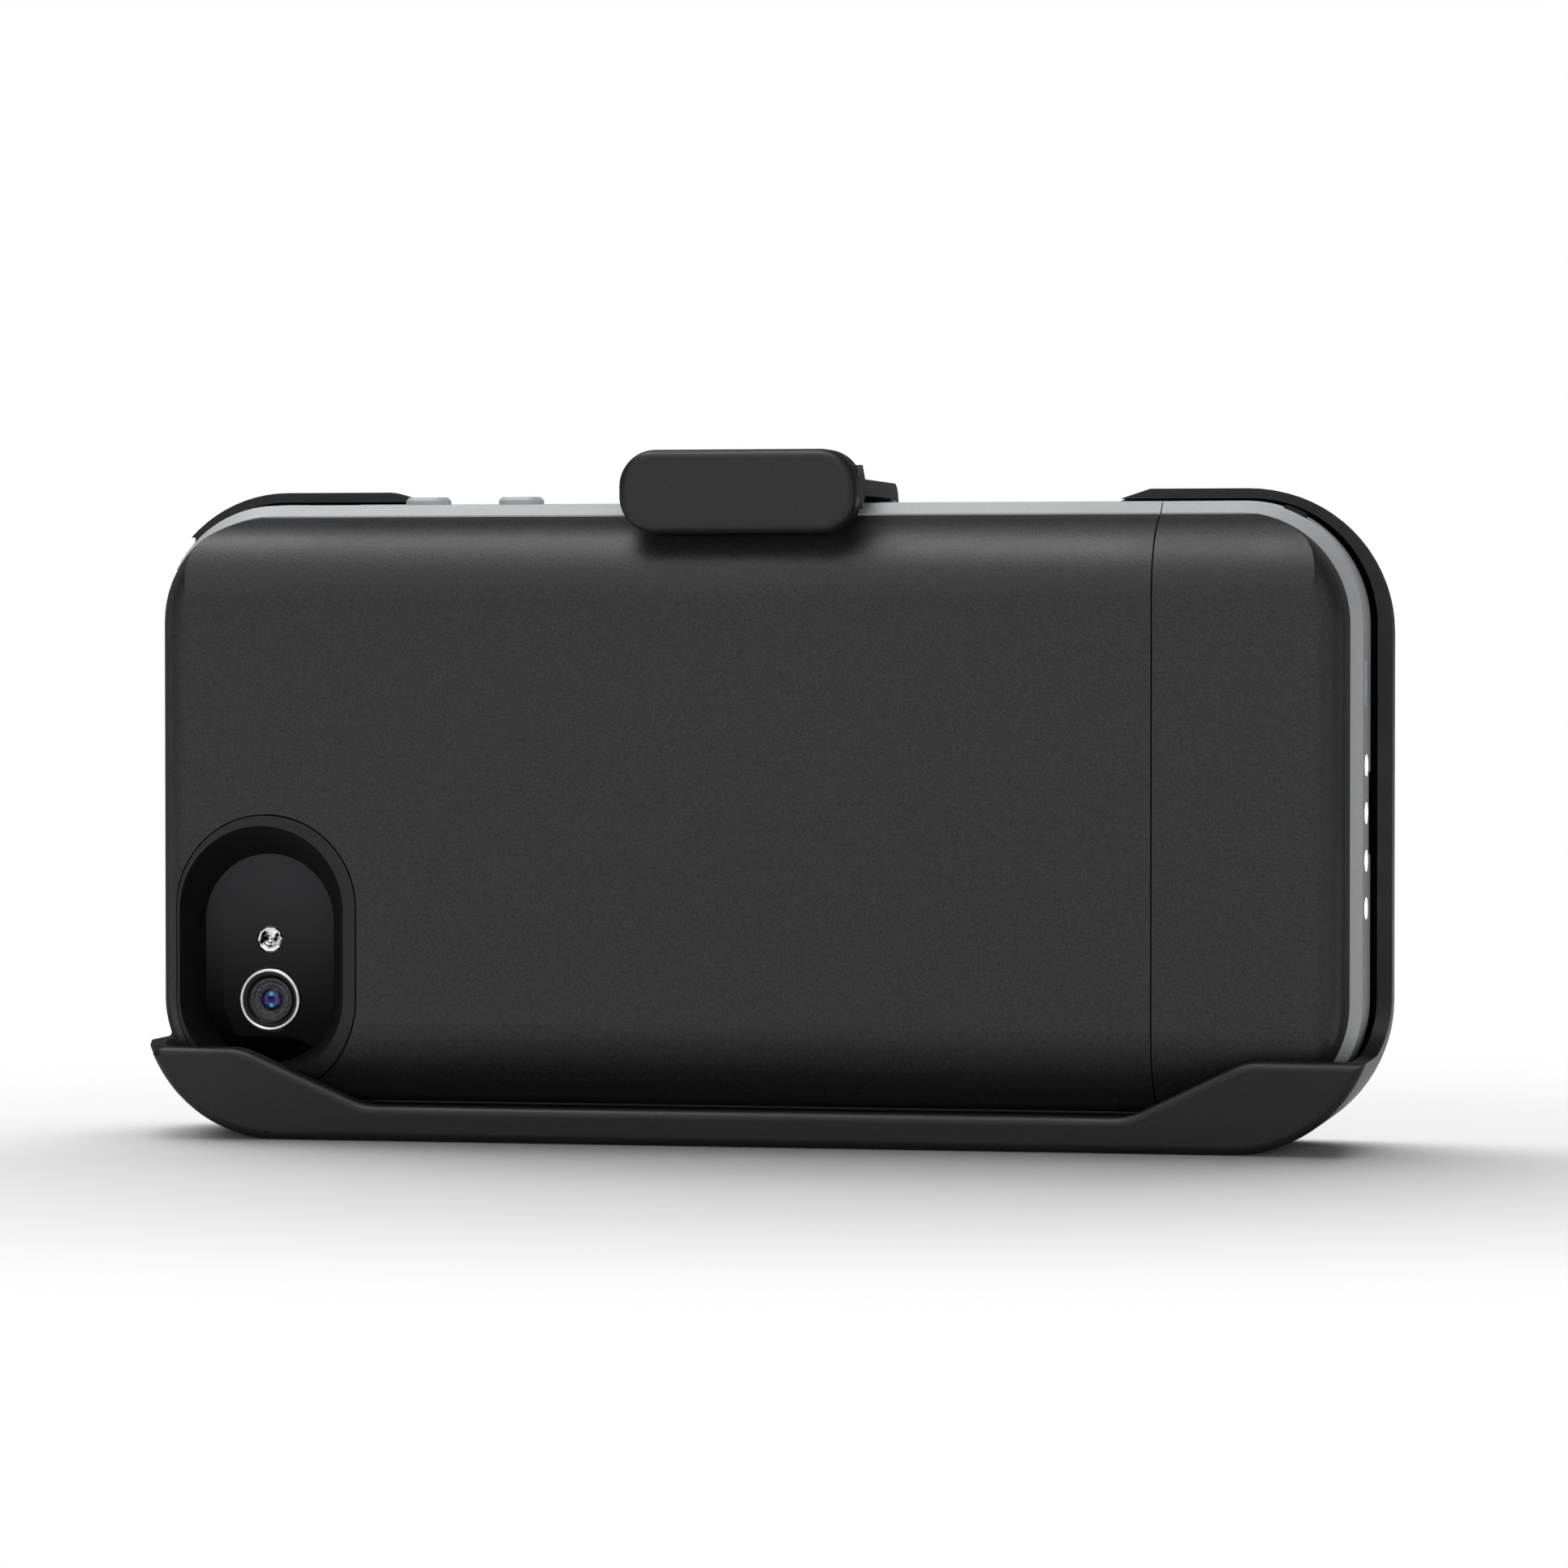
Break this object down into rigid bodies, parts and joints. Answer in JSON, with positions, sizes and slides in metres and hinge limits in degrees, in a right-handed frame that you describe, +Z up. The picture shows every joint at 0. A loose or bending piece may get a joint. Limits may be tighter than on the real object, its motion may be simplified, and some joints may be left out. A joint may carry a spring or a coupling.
{
  "type": "battery charging case",
  "caption": "Battery charging case on a phone, held in a belt-clip holster with a sprung release latch; soft-touch back, bumper band, camera window and charge lights.",
  "frame": {"origin": "on the flat base of the holster's long edge, under the middle of the case's back and of the moulded depth", "axes": "+X along the length towards the end cap, -Y out of the case's back face, +Z up, away from the base"},
  "size_m": [0.129, 0.0343, 0.0699],
  "materials": {
    "holster_black": "fine-grained black moulding",
    "clip_black": "plain black moulding",
    "steel": "drawn steel",
    "spring_steel": "spring wire",
    "soft_touch": "dark soft-touch coat",
    "band_grey": "light grey moulding",
    "bezel_black": "black matte moulding",
    "key_grey": "light bluish grey keys",
    "pouch_foil": "laminated pouch foil",
    "board_green": "solder mask on glass-fibre board",
    "flex_amber": "amber film",
    "plug_metal": "plated steel",
    "lamp_white": "small white lamps",
    "guide_clear": "clear light guide",
    "switch_black": "black switch body",
    "phone_frame": "anodised frame",
    "phone_glass": "black glass backed with ink",
    "ring_chrome": "polished ring",
    "lens_glass": "coated lens",
    "flash_clear": "faceted clear cover"
  },
  "bodies": {
    "holstered_case": {"holster_shell": "holster_black", "latch_pin": "steel", "latch_spring": "spring_steel", "main_back_shell": "soft_touch", "end_cap_shell": "soft_touch", "main_tray": "band_grey", "end_cap_tray": "band_grey", "window_bezel": "bezel_black", "top_end_insert": "bezel_black", "battery_cell": "pouch_foil", "cell_board": "board_green", "battery_flex": "flex_amber", "end_board": "board_green", "dock_plug": "plug_metal", "usb_socket": "plug_metal", "status_leds": "lamp_white", "light_guide": "guide_clear", "status_switch": "switch_black", "standby_switch": "switch_black", "phone_body": "phone_frame", "phone_back_glass": "phone_glass", "phone_front_glass": "phone_glass", "camera_ring": "ring_chrome", "camera_lens": "lens_glass", "camera_flash": "flash_clear"},
    "latch": {"release_latch": "holster_black"},
    "clip_swivel_plate": {"clip_base": "clip_black", "swivel_rivet": "steel", "clip_pin": "steel", "clip_spring": "spring_steel"},
    "clip_arm": {"belt_clip": "clip_black"},
    "volume_up_key": {"volume_up_button": "key_grey"},
    "volume_down_key": {"volume_down_button": "key_grey"},
    "status_key": {"status_button": "key_grey"},
    "standby_knob": {"standby_slider": "bezel_black"}
  },
  "joints": [
    {"name": "latch_hinge", "type": "hinge", "parent": "holstered_case", "child": "latch", "pos_m": [0, 0.01148, 0.0647], "axis": [-1, 0, 0], "range_deg": [0, 25], "stiffness_Nm_per_rad": 0.03, "springref_deg": -22.92, "deforming": ["latch_spring"]},
    {"name": "clip_swivel", "type": "hinge", "parent": "holstered_case", "child": "clip_swivel_plate", "pos_m": [0, 0.01243, 0.03345], "axis": [0, 1, 0], "range_deg": [-90, 90]},
    {"name": "clip_hinge", "type": "hinge", "parent": "clip_swivel_plate", "child": "clip_arm", "pos_m": [0, 0.02039, 0.04945], "axis": [1, 0, 0], "range_deg": [0, 18], "stiffness_Nm_per_rad": 0.05, "springref_deg": -20.05, "deforming": ["clip_spring"]},
    {"name": "volume_up_press", "type": "slide", "parent": "holstered_case", "child": "volume_up_key", "axis": [0, 0, -1], "range_m": [0, 0.00035], "stiffness_N_per_m": 600, "springref_m": -0.0005},
    {"name": "volume_down_press", "type": "slide", "parent": "holstered_case", "child": "volume_down_key", "axis": [0, 0, -1], "range_m": [0, 0.00035], "stiffness_N_per_m": 600, "springref_m": -0.0005},
    {"name": "status_press", "type": "slide", "parent": "holstered_case", "child": "status_key", "axis": [-1, 0, 0], "range_m": [0, 0.00035], "stiffness_N_per_m": 600, "springref_m": -0.0005},
    {"name": "standby_slide", "type": "slide", "parent": "holstered_case", "child": "standby_knob", "axis": [0.9063, 0, -0.4226], "range_m": [0, 0.0015]}
  ]
}
